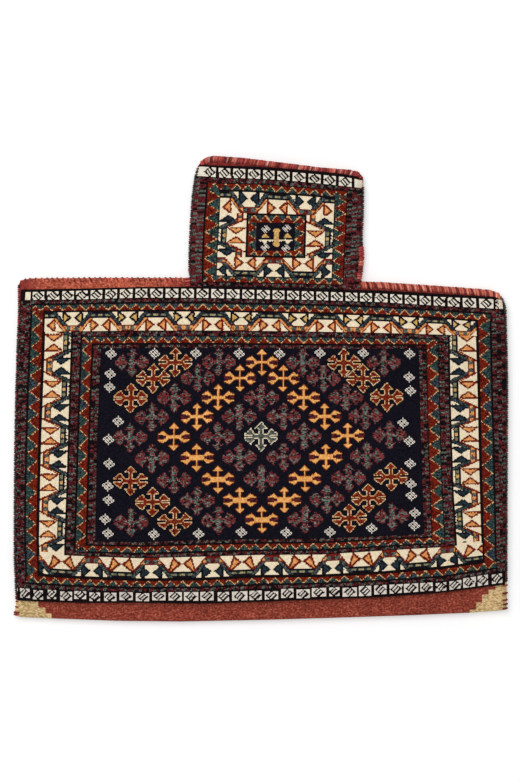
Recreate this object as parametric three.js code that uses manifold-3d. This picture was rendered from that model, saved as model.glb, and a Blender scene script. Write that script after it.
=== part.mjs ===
// Knotted-pile salt bag lying on its back: a wide pouch with a narrow neck, woven as one length,
// folded at the bottom and sewn up along its sides, shoulders and neck.
// Millimetres, +X across the bag, +Y from the bottom fold to the mouth, +Z up out of the pile.

import * as THREE from "three";
import { mergeVertices } from "three/addons/utils/BufferGeometryUtils.js";
import Module from "manifold-3d";

// Plan of the body, which the loom left a little out of square
const bodyWidth = 514;
const bodyHeight = 355;
const shoulderDrop = 18;
const shoulderCrown = 7;
const foldRise = 7;
const foldSag = 7;
const sideBow = 3;
const shoulderCornerRadius = 13;

// Plan of the neck, which leans to the right under a sloping mouth
const neckWidth = 176;
const neckHeight = 124;
const neckOffset = 14;
const neckLean = 5;
const neckRootDrop = 5;
const mouthDrop = 16;
const neckCornerRadius = 9;

// Thickness of the cloth, and the slack between its front and its back
const backThickness = 3;
const groundThickness = 3;
const pileHeight = 4;
const pouchGap = 10;
const slackRun = 60;
const edgeThickness = 9;
const noseDepth = 4;
const lipRound = 2;
const underRun = 12;
const pileRound = 8;
const pileStep = 2.5;
const seamAllowance = 8;

// Flat-woven strips that carry no pile
const foldStrip = 19.5;
const shoulderStrip = 11;
const mouthStrip = 8.4;

// Bands of the border, from the edge inwards: up the sides, then across the cloth
const sideGuard = 27.5;
const sideIvory = 31;
const sideInnerGuard = 31;
const squaresBand = 11;
const crossGuard = 13.3;
const crossIvory = 20.6;
const crossInnerGuard = 18;

// Bands of the neck's own border
const neckGuard = 27.7;
const neckIvory = 30.5;
const neckInnerGuard = 11.5;
const neckCrossIvory = 22;
const neckCrossInner = 8;
const grooveWidth = 2.2;
const grooveDepth = 0.9;

// Crosses of the field on their diagonal lattice
const latticeAcross = 22.8;
const latticeUp = 20.6;
const crossWidth = 32;
const crossTall = 27;
const crossStem = 4.6;
const crossHead = 12.5;
const crossHeadLength = 5.2;
const crossRelief = 0.8;
const crossRings = [0, 4, 8];
const crossColumns = 6;
const crossRows = 4;
const neckMotifWidth = 30;
const neckMotifTall = 19;

// Overcast stitching round the edges
const yarnThickness = 1.6;
const seatGap = 0.3;
const valleyShare = 0.45;
const sideWrapPitch = 14;
const shoulderWrapPitch = 9;
const neckWrapPitch = 12;
const mouthWrapPitch = 10;
const sideReach = 1.8;
const shoulderReach = 6.4;
const mouthReach = 7.2;
const mouthUnderReach = 4;
const seamEndGap = 1.2;

// Dyes of the wool
const dyes = {
  indigo: 0x17171f,
  darkYarn: 0x241a20,
  redYarn: 0xa8392f,
};
const pileRoughness = 0.95;
const yarnRoughness = 0.9;

const edgeLift = yarnThickness + seatGap;
const edgeMiddle = edgeLift + edgeThickness / 2;
const edgeTop = edgeLift + edgeThickness;
const slackRise = backThickness + pouchGap + groundThickness - edgeTop;
const neckRoot = shoulderStrip + pileStep;
const lerp = THREE.MathUtils.lerp;
const clamp = THREE.MathUtils.clamp;
const hump = (share) => 4 * share * (1 - share);
const noseShare = 0.3;
const sum = (values) => values.reduce((total, value) => total + value, 0);

const wasm = await Module();
wasm.setup();

// A closed geometry as a solid that can be joined and cut
function toSolid(geometry) {
  const bare = new THREE.BufferGeometry();
  bare.setAttribute("position", geometry.getAttribute("position"));
  bare.setIndex(geometry.index);
  const merged = mergeVertices(bare, 1e-4);
  return new wasm.Manifold(
    new wasm.Mesh({
      numProp: 3,
      vertProperties: new Float32Array(merged.attributes.position.array),
      triVerts: new Uint32Array(merged.index.array),
    }),
  );
}

function toGeometry(solid) {
  const { vertProperties, triVerts } = solid.getMesh();
  const geometry = new THREE.BufferGeometry();
  geometry.setAttribute("position", new THREE.BufferAttribute(vertProperties, 3));
  geometry.setIndex(new THREE.BufferAttribute(triVerts, 1));
  geometry.computeVertexNormals();
  return geometry;
}

function geometryOf(points, triangles) {
  const geometry = new THREE.BufferGeometry().setFromPoints(points);
  geometry.setIndex(triangles);
  return geometry;
}

// Cloth coordinates: u runs across from the left edge, v runs up from the fold (or from the neck's root)
function bodyPlan(u, v) {
  const across = u / bodyWidth;
  const up = v / bodyHeight;
  const foldLine = foldRise * across - foldSag * hump(across);
  const shoulderLine = bodyHeight - shoulderDrop * across + shoulderCrown * hump(across);
  const x = (across - 0.5) * (bodyWidth + 2 * sideBow * hump(up));
  return new THREE.Vector2(x, lerp(foldLine, shoulderLine, up));
}

const neckMiddle = bodyWidth / 2 + neckOffset;
const neckBase = bodyPlan(neckMiddle, bodyHeight).y;

function neckPlan(u, v) {
  const across = u / neckWidth - 0.5;
  const up = v / neckHeight;
  const x = neckOffset + neckLean * up + across * neckWidth;
  return new THREE.Vector2(x, neckBase + v - across * lerp(neckRootDrop, mouthDrop, up));
}

const ramp = (distance, run) => THREE.MathUtils.smoothstep(distance, 0, run);

// Fall of a rounded edge below the cloth beside it, at a distance in from that edge
function roundFall(inset, depth, thickness) {
  const share = 1 - clamp(inset / depth, 0, 1);
  return (thickness / 2) * (1 - Math.sqrt(1 - share * share));
}

const seamFall = (inset) => roundFall(inset, noseDepth, edgeThickness);
const lipFall = (inset) => roundFall(inset, lipRound, groundThickness);

// Height of the flat weave, which rises from the seams in straight steps as the slack opens
const slackLines = [0, 1, 2, 3].map((step) => noseDepth + (step * slackRun) / 3);

function flatHeight(inset) {
  const share = clamp(((inset - noseDepth) / slackRun) * 3, 0, 3);
  const step = Math.min(Math.floor(share), 2);
  return edgeTop + slackRise * lerp(ramp(step, 3), ramp(step + 1, 3), share - step);
}

// A run of band widths as distances from a starting line
function bandEdges(start, widths) {
  return widths.map((_, index) => start + sum(widths.slice(0, index + 1)));
}

const sideEdges = bandEdges(0, [sideGuard, sideIvory, sideInnerGuard]);
const crossBands = [squaresBand, crossGuard, crossIvory, crossInnerGuard];
const foldEdges = bandEdges(foldStrip, crossBands);
const shoulderEdges = bandEdges(shoulderStrip, crossBands);

const neckBands = [crossGuard, neckCrossIvory, neckCrossInner];
const neckSideEdges = bandEdges(0, [neckGuard, neckIvory, neckInnerGuard]);
const mouthEdges = bandEdges(mouthStrip, [squaresBand, ...neckBands]);
const rootEdges = bandEdges(pileStep - shoulderStrip, neckBands);

// Nested frames that outline the bands, each a rectangle in cloth coordinates
const bodyFrames = sideEdges.map((side, index) => ({
  left: side,
  right: bodyWidth - side,
  low: foldEdges[index + 1],
  high: bodyHeight - shoulderEdges[index + 1],
}));
bodyFrames.push({
  left: -bodyWidth,
  right: 2 * bodyWidth,
  low: foldEdges[0],
  high: bodyHeight - shoulderEdges[0],
});
const neckFrames = neckSideEdges.map((side, index) => ({
  left: side,
  right: neckWidth - side,
  low: rootEdges[index],
  high: neckHeight - mouthEdges[index + 1],
}));
neckFrames.push({
  left: -neckWidth,
  right: 2 * neckWidth,
  low: -bodyHeight,
  high: neckHeight - mouthEdges[0],
});

// Depth of the dark outline between two bands
function groove(frames, u, v) {
  const nearest = frames.map(({ left, right, low, high }) =>
    Math.abs(Math.min(u - left, right - u, v - low, high - v)),
  );
  return grooveDepth * clamp(1 - Math.min(...nearest) / (grooveWidth / 2), 0, 1);
}

const neckLeft = neckMiddle - neckWidth / 2;
const neckRight = neckMiddle + neckWidth / 2;

// The shoulder is no edge where the neck runs on from the body
function bodyInset(u, v) {
  const underNeck = Math.max(0, Math.min(u - neckLeft, neckRight - u));
  return Math.min(u, bodyWidth - u, v, bodyHeight - v + underNeck);
}

// Height of the pile over the flat weave, less the grooves between its bands
function pileOver(shareUp, frames, u, v) {
  return shareUp * (pileHeight - groove(frames, u, v));
}

function bodyHeightAt(u, v) {
  const side = Math.min(u, bodyWidth - u);
  const end = Math.min(v, bodyHeight - v);
  const pileEnd = Math.min(v - foldStrip, bodyHeight - shoulderStrip - v);
  const shareUp = Math.min(ramp(side, pileRound), ramp(pileEnd, pileStep));
  return flatHeight(bodyInset(u, v)) - seamFall(Math.min(side, end)) + pileOver(shareUp, bodyFrames, u, v);
}

function neckHeightAt(u, v) {
  const side = Math.min(u, neckWidth - u);
  const shareUp = Math.min(ramp(side, pileRound), ramp(neckHeight - mouthStrip - v, pileStep));
  const fall = Math.max(seamFall(side), lipFall(neckHeight - v));
  return flatHeight(side) - fall + pileOver(shareUp, neckFrames, u, v);
}

const mirrored = (edges, whole) => [...edges, ...edges.map((edge) => whole - edge)];
const rising = (lines) => lines.sort((a, b) => a - b);
const grooveLines = (edges) =>
  edges.flatMap((edge) => [edge - grooveWidth / 2, edge, edge + grooveWidth / 2]);
const roundLines = (depth) => [0, noseShare * depth, depth];
const stepLines = (strip) => [strip, strip + pileStep];
const sewnLines = [...roundLines(noseDepth), pileRound, ...slackLines.slice(1)];

// A padded block of cloth: a top skin over the grid, a rounded rim below it and a flat underside
function paddedBlock({ uLines, vLines, plan, top, rim }) {
  const columns = uLines.length;
  const rows = vLines.length;
  const points = [];
  const triangles = [];
  const place = (u, v, z) => {
    const { x, y } = plan(u, v);
    points.push(new THREE.Vector3(x, y, z));
    return points.length - 1;
  };
  const quad = (a, b, c, d) => triangles.push(a, b, c, a, c, d);

  for (const v of vLines) {
    for (const u of uLines) place(u, v, top(u, v));
  }
  for (let row = 0; row < rows - 1; row++) {
    for (let column = 0; column < columns - 1; column++) {
      const corner = row * columns + column;
      quad(corner, corner + 1, corner + columns + 1, corner + columns);
    }
  }

  const ring = [];
  for (let column = 0; column < columns - 1; column++) ring.push([column, 0]);
  for (let row = 0; row < rows - 1; row++) ring.push([columns - 1, row]);
  for (let column = columns - 1; column > 0; column--) ring.push([column, rows - 1]);
  for (let row = rows - 1; row > 0; row--) ring.push([0, row]);
  const [uLow, uHigh] = [uLines[0], uLines[columns - 1]];
  const [vLow, vHigh] = [vLines[0], vLines[rows - 1]];
  const shrink = (value, low, high, inset) =>
    lerp(low + inset, high - inset, (value - low) / (high - low));

  let upper = ring.map(([column, row]) => row * columns + column);
  for (const { sideInset, endInset, z } of rim) {
    const lower = ring.map(([column, row]) =>
      place(shrink(uLines[column], uLow, uHigh, sideInset), shrink(vLines[row], vLow, vHigh, endInset), z),
    );
    for (let at = 0; at < ring.length; at++) {
      const next = (at + 1) % ring.length;
      quad(upper[at], lower[at], lower[next], upper[next]);
    }
    upper = lower;
  }
  const underside = upper.map((index) => new THREE.Vector2(points[index].x, points[index].y));
  for (const [a, b, c] of THREE.ShapeUtils.triangulateShape(underside, [])) {
    triangles.push(upper[a], upper[c], upper[b]);
  }
  return toSolid(geometryOf(points, triangles));
}

// The rim turns under to the back, which lies flat inside it; the ends of the neck are cut square
const rimTurns = [
  [noseShare * noseDepth, edgeMiddle - (edgeThickness / 2 - seamFall(noseShare * noseDepth))],
  [noseDepth, edgeLift],
  [underRun, 0],
];
const sewnRim = rimTurns.map(([inset, z]) => ({ sideInset: inset, endInset: inset, z }));
const neckRim = rimTurns.map(([inset, z]) => ({ sideInset: inset, endInset: 0, z }));

function bodyBlock() {
  const sides = [...sewnLines, ...grooveLines(sideEdges)];
  const foldEnd = [...roundLines(noseDepth), ...stepLines(foldStrip), ...grooveLines(foldEdges)];
  const shoulderEnd = [...roundLines(noseDepth), ...stepLines(shoulderStrip), ...grooveLines(shoulderEdges)];
  const neckLines = [(sideEdges.at(-1) + neckLeft) / 2, neckLeft, neckMiddle, neckRight];
  return paddedBlock({
    uLines: rising([...mirrored(sides, bodyWidth), ...neckLines]),
    vLines: rising([...foldEnd, ...shoulderEnd.map((line) => bodyHeight - line)]),
    plan: bodyPlan,
    top: bodyHeightAt,
    rim: sewnRim,
  });
}

function neckBlock() {
  const sides = [...sewnLines, ...grooveLines(neckSideEdges)];
  const mouthEnd = [...roundLines(lipRound), ...stepLines(mouthStrip), ...grooveLines(mouthEdges)];
  return paddedBlock({
    uLines: rising(mirrored(sides, neckWidth)),
    vLines: rising([-neckRoot, ...grooveLines(rootEdges), ...mouthEnd.map((line) => neckHeight - line)]),
    plan: neckPlan,
    top: neckHeightAt,
    rim: neckRim,
  });
}

// Room inside the bag, open at the mouth
const roomLines = [seamAllowance, ...slackLines.slice(1)];
const roomFloor = [{ sideInset: 0, endInset: 0, z: backThickness }];

function bodyRoom() {
  return paddedBlock({
    uLines: rising(mirrored(roomLines, bodyWidth)),
    vLines: rising(mirrored(roomLines, bodyHeight)),
    plan: bodyPlan,
    top: (u, v) => flatHeight(bodyInset(u, v)) - groundThickness,
    rim: roomFloor,
  });
}

function neckRoom() {
  return paddedBlock({
    uLines: rising(mirrored(roomLines, neckWidth)),
    vLines: [-slackRun, neckHeight + seamAllowance],
    plan: neckPlan,
    top: (u) => flatHeight(Math.min(u, neckWidth - u)) - groundThickness,
    rim: roomFloor,
  });
}

// A cross with four arrow-headed arms
function arrowCross(width, tall) {
  const stem = crossStem / 2;
  const head = crossHead / 2;
  const arm = (reach) => [
    [stem, stem],
    [reach - crossHeadLength, stem],
    [reach - crossHeadLength, head],
    [reach, 0],
    [reach - crossHeadLength, -head],
    [reach - crossHeadLength, -stem],
  ];
  const outline = [];
  for (const [reach, turn] of [
    [width / 2, 0],
    [tall / 2, -1],
    [width / 2, -2],
    [tall / 2, -3],
  ]) {
    const angle = (turn * Math.PI) / 2;
    for (const [along, aside] of arm(reach)) {
      outline.push(new THREE.Vector2(along, aside).rotateAround(new THREE.Vector2(), angle));
    }
  }
  return new THREE.Shape(outline);
}

function raisedCross(width, tall, middle, surface) {
  const geometry = new THREE.ExtrudeGeometry(arrowCross(width, tall), {
    depth: 2 * crossRelief,
    bevelEnabled: false,
  });
  geometry.translate(middle.x, middle.y, surface - crossRelief);
  return toSolid(geometry);
}

function fieldCrosses() {
  const middleV = (foldEdges.at(-1) + bodyHeight - shoulderEdges.at(-1)) / 2;
  const crosses = [];
  for (let row = -crossRows; row <= crossRows; row++) {
    for (let column = -crossColumns; column <= crossColumns; column++) {
      if (!crossRings.includes(Math.abs(row) + Math.abs(column))) continue;
      const u = bodyWidth / 2 + column * latticeAcross;
      const v = middleV + row * latticeUp;
      crosses.push(raisedCross(crossWidth, crossTall, bodyPlan(u, v), bodyHeightAt(u, v)));
    }
  }
  return crosses;
}

function neckMotif() {
  const u = neckWidth / 2;
  const v = (rootEdges.at(-1) + neckHeight - mouthEdges.at(-1)) / 2;
  return raisedCross(neckMotifWidth, neckMotifTall, neckPlan(u, v), neckHeightAt(u, v));
}

// The waste outside a rounded corner, given the plan of the corner and the two ways in from it
function cornerWaste(plan, u, v, inU, inV, radius) {
  const at = (du, dv) => plan(u + inU * du, v + inV * dv);
  const spare = 2 * noseDepth;
  const arc = [];
  const arcSteps = 6;
  for (let step = 0; step <= arcSteps; step++) {
    const angle = (step / arcSteps) * (Math.PI / 2);
    arc.push(at(radius * (1 - Math.cos(angle)), radius * (1 - Math.sin(angle))));
  }
  const outline = [...arc, at(radius, -spare), at(-spare, -spare), at(-spare, radius)];
  const tall = backThickness + pouchGap + groundThickness + 2 * pileHeight;
  const geometry = new THREE.ExtrudeGeometry(new THREE.Shape(outline), {
    depth: tall,
    bevelEnabled: false,
  });
  geometry.translate(0, 0, -pileHeight);
  return toSolid(geometry);
}

function wovenBag() {
  let cloth = bodyBlock().add(neckBlock());
  for (const cross of fieldCrosses()) cloth = cloth.add(cross);
  cloth = cloth.add(neckMotif());
  const wastes = [
    cornerWaste(bodyPlan, bodyWidth, bodyHeight, -1, -1, shoulderCornerRadius),
    cornerWaste(neckPlan, 0, neckHeight, 1, -1, neckCornerRadius),
    cornerWaste(neckPlan, neckWidth, neckHeight, -1, -1, neckCornerRadius),
  ];
  for (const waste of wastes) cloth = cloth.subtract(waste);
  return toGeometry(cloth.subtract(bodyRoom().add(neckRoom())));
}

// Section of the stitching round a sewn edge, as pairs of a distance in from the edge and a height
function seamSection(surface, reach, thickness) {
  const side = (offset) => {
    const under = [-70, -35, 0].map((degrees) => {
      const angle = THREE.MathUtils.degToRad(degrees);
      const inset = noseDepth - (noseDepth + offset) * Math.cos(angle);
      return [inset, edgeMiddle + (edgeThickness / 2 + offset) * Math.sin(angle)];
    });
    const insets = [noseShare * noseDepth, noseDepth].filter((inset) => inset < reach);
    const over = [...insets, reach].map((inset) => [inset, surface(inset) + offset]);
    over[0][0] -= offset / 2;
    return [...under, ...over];
  };
  return [...side(seatGap), ...side(seatGap + thickness).reverse()];
}

// Section of the binding round the front lip of the mouth, from inside it to the top of the strip
function frontLipSection(surface, roof, thickness) {
  const side = (offset) => [
    [mouthUnderReach, roof - offset],
    [-offset, roof - offset],
    [-offset, surface(0) + offset / 2],
    [noseShare * lipRound - offset / 2, surface(noseShare * lipRound) + offset],
    [lipRound, surface(lipRound) + offset],
    [mouthReach, surface(mouthReach) + offset],
  ];
  return [...side(seatGap), ...side(seatGap + thickness).reverse()];
}

// Section of the bead on the square end of the back lip
function backLipSection(thickness) {
  return [
    [-seatGap, backThickness + thickness / 2],
    [-seatGap - thickness, backThickness],
    [-seatGap - thickness, backThickness / 4],
    [-seatGap, 0],
  ];
}

// Overcast wraps along an edge: a run of sections that swell and fall with every turn of the yarn
function overcast({ from, to, pitch, section, place }) {
  const wraps = Math.max(1, Math.round((to - from) / pitch));
  const stations = 2 * wraps;
  const points = [];
  const triangles = [];
  const onward = place(to, 0).sub(place(from, 0));
  const inward = place(from, noseDepth).sub(place(from, 0));
  const face = onward.cross(inward) < 0 ? (a, b, c) => [a, b, c] : (a, b, c) => [a, c, b];
  let size = 0;
  for (let station = 0; station <= stations; station++) {
    const along = lerp(from, to, station / stations);
    const swell = station % 2 === 1 ? 1 : valleyShare;
    const loop = section(swell * yarnThickness, along);
    size = loop.length;
    for (const [inset, z] of loop) {
      const { x, y } = place(along, inset);
      points.push(new THREE.Vector3(x, y, z));
    }
  }
  for (let station = 0; station < stations; station++) {
    for (let at = 0; at < size; at++) {
      const a = station * size + at;
      const b = station * size + ((at + 1) % size);
      triangles.push(...face(a, b + size, b), ...face(a, a + size, b + size));
    }
  }
  const end = section(valleyShare * yarnThickness, from).map(([inset, z]) => new THREE.Vector2(inset, z));
  const last = stations * size;
  for (const [a, b, c] of THREE.ShapeUtils.triangulateShape(end, [])) {
    triangles.push(...face(a, b, c), ...face(last + a, last + c, last + b));
  }
  return toGeometry(toSolid(geometryOf(points, triangles)));
}

const bag = new THREE.Group();

function addPiece(name, geometry, dye, roughness) {
  const material = new THREE.MeshStandardMaterial({ color: dye, roughness, metalness: 0 });
  const mesh = new THREE.Mesh(geometry, material);
  mesh.name = name;
  bag.add(mesh);
}

addPiece("woven_bag", wovenBag(), dyes.indigo, pileRoughness);

// Each sewn edge of the body or neck: where it runs, and the cloth's surface beside it
const cornerRoom = noseDepth + yarnThickness + seamEndGap;

function addSeam(name, dye, { from, to, pitch, reach, cloth, plan, surface }) {
  const section = (thickness, along) =>
    seamSection((inset) => surface(...cloth(along, inset)), reach, thickness);
  const place = (along, inset) => plan(...cloth(along, inset));
  addPiece(name, overcast({ from, to, pitch, section, place }), dye, yarnRoughness);
}

const onBody = { plan: bodyPlan, surface: bodyHeightAt };
const onNeck = { plan: neckPlan, surface: neckHeightAt };
const sideRun = { from: cornerRoom, pitch: sideWrapPitch, reach: sideReach };
const shoulderRun = {
  pitch: shoulderWrapPitch,
  reach: shoulderReach,
  cloth: (along, inset) => [along, bodyHeight - inset],
};
const neckRun = {
  from: cornerRoom,
  to: neckHeight - neckCornerRadius - seamEndGap,
  pitch: neckWrapPitch,
  reach: sideReach,
};

addSeam("side_stitching_left", dyes.darkYarn, {
  ...onBody,
  ...sideRun,
  to: bodyHeight - cornerRoom,
  cloth: (along, inset) => [inset, along],
});
addSeam("side_stitching_right", dyes.darkYarn, {
  ...onBody,
  ...sideRun,
  to: bodyHeight - shoulderCornerRadius - seamEndGap,
  cloth: (along, inset) => [bodyWidth - inset, along],
});
addSeam("shoulder_stitching_left", dyes.redYarn, {
  ...onBody,
  ...shoulderRun,
  from: cornerRoom,
  to: neckLeft - cornerRoom,
});
addSeam("shoulder_stitching_right", dyes.redYarn, {
  ...onBody,
  ...shoulderRun,
  from: neckRight + cornerRoom,
  to: bodyWidth - shoulderCornerRadius - seamEndGap,
});
addSeam("neck_stitching_left", dyes.darkYarn, {
  ...onNeck,
  ...neckRun,
  cloth: (along, inset) => [inset, along],
});
addSeam("neck_stitching_right", dyes.darkYarn, {
  ...onNeck,
  ...neckRun,
  cloth: (along, inset) => [neckWidth - inset, along],
});

// Each lip of the open mouth has its own binding
const mouthRun = {
  from: neckCornerRadius + seamEndGap,
  to: neckWidth - neckCornerRadius - seamEndGap,
  pitch: mouthWrapPitch,
  place: (along, inset) => neckPlan(along, neckHeight - inset),
};

function frontLip(thickness, along) {
  const roof = flatHeight(Math.min(along, neckWidth - along)) - groundThickness;
  return frontLipSection((inset) => neckHeightAt(along, neckHeight - inset), roof, thickness);
}

for (const [name, section] of [
  ["mouth_binding_front", frontLip],
  ["mouth_binding_back", backLipSection],
]) {
  addPiece(name, overcast({ ...mouthRun, section }), dyes.redYarn, yarnRoughness);
}

// The origin is under the middle of the bag, on the surface that it lies on
const reach = new THREE.Box3().setFromObject(bag);
const middle = reach.getCenter(new THREE.Vector3());
bag.position.set(-middle.x, -middle.y, -reach.min.z);

export default bag;
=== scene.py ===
import bpy
import numpy as np
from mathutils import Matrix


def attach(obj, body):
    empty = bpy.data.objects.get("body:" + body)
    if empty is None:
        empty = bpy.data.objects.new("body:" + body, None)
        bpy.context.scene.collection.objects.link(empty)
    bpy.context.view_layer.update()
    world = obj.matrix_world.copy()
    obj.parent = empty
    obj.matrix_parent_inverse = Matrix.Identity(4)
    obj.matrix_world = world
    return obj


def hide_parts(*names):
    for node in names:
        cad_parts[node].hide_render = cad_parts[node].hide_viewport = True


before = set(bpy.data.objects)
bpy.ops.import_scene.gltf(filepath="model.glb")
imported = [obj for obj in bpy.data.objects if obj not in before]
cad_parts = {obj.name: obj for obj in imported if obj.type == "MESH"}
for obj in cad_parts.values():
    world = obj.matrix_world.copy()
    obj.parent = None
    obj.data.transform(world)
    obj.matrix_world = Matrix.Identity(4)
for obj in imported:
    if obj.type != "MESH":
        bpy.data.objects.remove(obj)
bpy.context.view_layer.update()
scene = bpy.context.scene
scene.view_settings.view_transform = "Standard"
rng = np.random.default_rng(417)
print("frame loaded,", len(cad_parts), "nodes")

# The weaver's chart: one unit is one knot, x runs to the right and y down the cloth
chart = {"knot": 0.00105, "middleX": 261.0, "middleY": 389.6}

# Heights of the lying bag in metres, as its solids have them
lie = {"edgeLow": 0.0019, "edgeTop": 0.0109, "nose": 0.004, "slack": 0.0051, "slackRun": 0.060, "pile": 0.004,
       "pileRound": 0.008, "underRun": 0.012, "cloth": 0.003, "billow": 0.0005, "floorGap": 0.0003,
       "neckLift": 0.0002}
lie["edgeMiddle"] = (lie["edgeLow"] + lie["edgeTop"]) / 2

# Outline of the bag on the chart, clockwise from its left shoulder
leftNeckEdge = [(190.3, 277.6), (188.9, 270), (189.2, 250), (190.2, 225), (192.3, 195), (194.6, 178), (197.2, 168)]
mouthEdge = [(200.5, 162), (207, 157.8), (214, 156.4), (240, 158.6), (280, 163.4), (320, 168.4), (350, 170.4),
             (358, 172.2), (362, 177)]
rightNeckEdge = [(363.6, 186), (363.3, 215), (362.2, 238), (363.2, 257), (361.6, 272), (360, 282.6)]
rightShoulderEdge = [(385, 283.6), (415, 285.6), (460, 288.7), (490, 291.2), (498, 293.6), (503.6, 299), (506.4, 308)]
rightSideEdge = [(507.4, 340), (508.2, 380), (508, 440), (507.7, 500), (507.5, 560), (507.6, 600), (507.4, 609)]
foldEdge = [(505, 611), (470, 613.6), (415, 616), (350, 618.2), (270, 620.6), (180, 622.4), (120, 621.8), (60, 619.6),
            (20, 618)]
leftSideEdge = [(13.6, 616.4), (15.4, 600), (13.6, 560), (13.6, 520), (14.1, 450), (15.1, 395), (16.6, 345),
                (18.2, 305), (17.8, 285)]
leftShoulderEdge = [(19.5, 280), (30, 278), (100, 277.4), (170, 277.4)]
farMouth = [(197.2, 60), (363.6, 60)]
outline = (leftShoulderEdge + leftNeckEdge + mouthEdge + rightNeckEdge + rightShoulderEdge + rightSideEdge + foldEdge
           + leftSideEdge)
# The same with the neck run on past its mouth, because the open mouth isn't a seam
openOutline = (leftShoulderEdge + leftNeckEdge + farMouth + rightNeckEdge + rightShoulderEdge + rightSideEdge
               + foldEdge + leftSideEdge)


def toBag(x, y):
    return (x - chart["middleX"]) * chart["knot"], (chart["middleY"] - y) * chart["knot"]


def smooth(share):
    share = np.clip(share, 0, 1)
    return share * share * (3 - 2 * share)


# Distance in knots to the nearest edge of a closed outline, the nearest point on it, and which points are inside
def nearestEdge(x, y, points):
    best = np.full(x.shape, np.inf)
    nearX, nearY = x.copy(), y.copy()
    inside = np.zeros(x.shape, bool)
    for (ax, ay), (bx, by) in zip(points, points[1:] + points[:1]):
        runX, runY = bx - ax, by - ay
        share = np.clip(((x - ax) * runX + (y - ay) * runY) / (runX ** 2 + runY ** 2), 0, 1)
        hitX, hitY = ax + share * runX, ay + share * runY
        away = np.hypot(x - hitX, y - hitY)
        closer = away < best
        best = np.where(closer, away, best)
        nearX, nearY = np.where(closer, hitX, nearX), np.where(closer, hitY, nearY)
        if ay != by:
            inside ^= ((ay > y) != (by > y)) & (x < runX * (y - ay) / runY + ax)
    return best, nearX, nearY, inside


def heldInside(x, y, points):
    _, nearX, nearY, inside = nearestEdge(x, y, points)
    return np.where(inside, x, nearX), np.where(inside, y, nearY)


def insetOf(x, y):
    away, _, _, inside = nearestEdge(x, y, openOutline)
    return np.where(inside, away, 0) * chart["knot"]


# Quarter round from an edge's nose, at 0, to the flat of the cloth, at 1
def noseRound(inset):
    turn = np.clip(inset / lie["nose"], 0, 1)
    return np.sqrt(turn * (2 - turn))


# Low uneven waves of the slack cloth, 150 to 200 knots long
def slackWaves(x, y):
    return np.sin(x * 0.031 + 0.7) * np.sin(y * 0.043 + 0.4) + 0.6 * np.sin(x * 0.017 - y * 0.029)


# Height of the front cloth above the floor, without its pile
def frontHeight(x, y):
    inset = insetOf(x, y)
    rise = smooth((inset - lie["nose"]) / lie["slackRun"])
    return (lie["edgeMiddle"] + (lie["edgeTop"] - lie["edgeMiddle"]) * noseRound(inset)
            + lie["slack"] * rise + lie["billow"] * slackWaves(x, y) * rise)


def pileHeight(x, y):
    return frontHeight(x, y) + lie["pile"] * smooth(insetOf(x, y) / lie["pileRound"])


def backHeight(x, y):
    inset = insetOf(x, y)
    low = lie["edgeMiddle"] + (lie["edgeLow"] - lie["edgeMiddle"]) * noseRound(inset)
    return low + (lie["floorGap"] - lie["edgeLow"]) * smooth((inset - lie["nose"]) / lie["underRun"])


# Shader maths: a socket that can be written in sums
class Wire:
    def __init__(self, tree, socket=None):
        self.tree = tree
        self.socket = socket

    # One node: its type, its settings, then the values or links of its sockets
    def node(self, kind, settings=None, sockets=None, out=0):
        made = self.tree.nodes.new(kind)
        for key, value in (settings or {}).items():
            setattr(made, key, value)
        for key, value in (sockets or {}).items():
            if isinstance(value, Wire):
                self.tree.links.new(value.socket, made.inputs[key])
            else:
                made.inputs[key].default_value = value
        return Wire(self.tree, made.outputs[out])

    # Another output of the same node
    def beside(self, out):
        return Wire(self.tree, self.socket.node.outputs[out])

    def sum(self, operation, first, second=0.0):
        return self.node("ShaderNodeMath", {"operation": operation}, {0: first, 1: second})

    def __add__(self, other): return self.sum("ADD", self, other)
    def __radd__(self, other): return self.sum("ADD", other, self)
    def __sub__(self, other): return self.sum("SUBTRACT", self, other)
    def __rsub__(self, other): return self.sum("SUBTRACT", other, self)
    def __mul__(self, other): return self.sum("MULTIPLY", self, other)
    def __rmul__(self, other): return self.sum("MULTIPLY", other, self)
    def __truediv__(self, other): return self.sum("DIVIDE", self, other)
    def __rtruediv__(self, other): return self.sum("DIVIDE", other, self)
    def __lt__(self, other): return self.sum("LESS_THAN", self, other)
    def __gt__(self, other): return self.sum("GREATER_THAN", self, other)
    def __or__(self, other): return self.sum("MAXIMUM", self, other)
    def __ror__(self, other): return self.sum("MAXIMUM", other, self)
    def floor(self): return self.sum("FLOOR", self)
    def fract(self): return self.sum("FRACT", self)

    def colours(self, blend, share, first, second):
        return self.node("ShaderNodeMix", {"data_type": "RGBA", "blend_type": blend},
                         {0: share, 6: first, 7: second}, 2)

    # Self is the share of the second colour
    def mix(self, first, second):
        return self.colours("MIX", self, first, second)

    def times(self, colour):
        return self.colours("MULTIPLY", 1.0, colour, self)

    # Self is the place
    def noise(self, scale, detail):
        return self.node("ShaderNodeTexNoise", {}, {"Vector": self, "Scale": scale, "Detail": detail})

    def into(self, shader, name):
        self.tree.links.new(self.socket, shader.inputs[name])

    # Self is the height
    def bump(self, finish, shader):
        self.node("ShaderNodeBump", {}, {"Strength": finish["bump"], "Distance": finish["depth"],
                                         "Height": self}).into(shader, "Normal")


def colourOf(text):
    parts = [int(text[i:i + 2], 16) / 255 for i in (0, 2, 4)]
    return [p / 12.92 if p <= 0.04045 else ((p + 0.055) / 1.055) ** 2.4 for p in parts] + [1.0]


def newMaterial(name, roughness, gloss=0.2):
    material = bpy.data.materials.new(name)
    material.use_nodes = True
    shader = material.node_tree.nodes["Principled BSDF"]
    shader.inputs["Roughness"].default_value = roughness
    shader.inputs["Specular IOR Level"].default_value = gloss
    return material, Wire(material.node_tree), shader


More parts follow.
